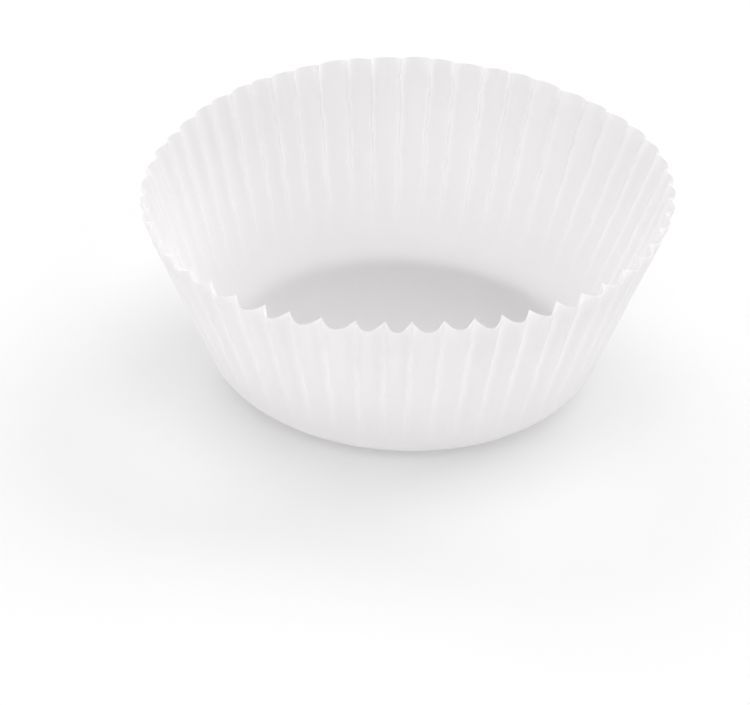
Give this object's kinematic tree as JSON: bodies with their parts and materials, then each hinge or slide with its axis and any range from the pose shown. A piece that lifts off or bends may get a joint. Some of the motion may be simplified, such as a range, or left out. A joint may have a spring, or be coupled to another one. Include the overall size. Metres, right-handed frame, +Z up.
{
  "type": "paper baking cup",
  "caption": "Round pleated paper baking cup with a flat floor and a flared fluted wall, open at the top, which holds one muffin or cupcake.",
  "frame": {"origin": "middle of the underside of the floor, where the cup stands", "axes": "+Z up along the cup's axis, towards the open rim; -Y is the side that faces the picture's camera"},
  "size_m": [0.0718, 0.0718, 0.0254],
  "materials": {
    "paper": "matte white greaseproof paper, slightly translucent"
  },
  "bodies": {
    "root": {"pleated_sheet": "paper"}
  },
  "joints": []
}
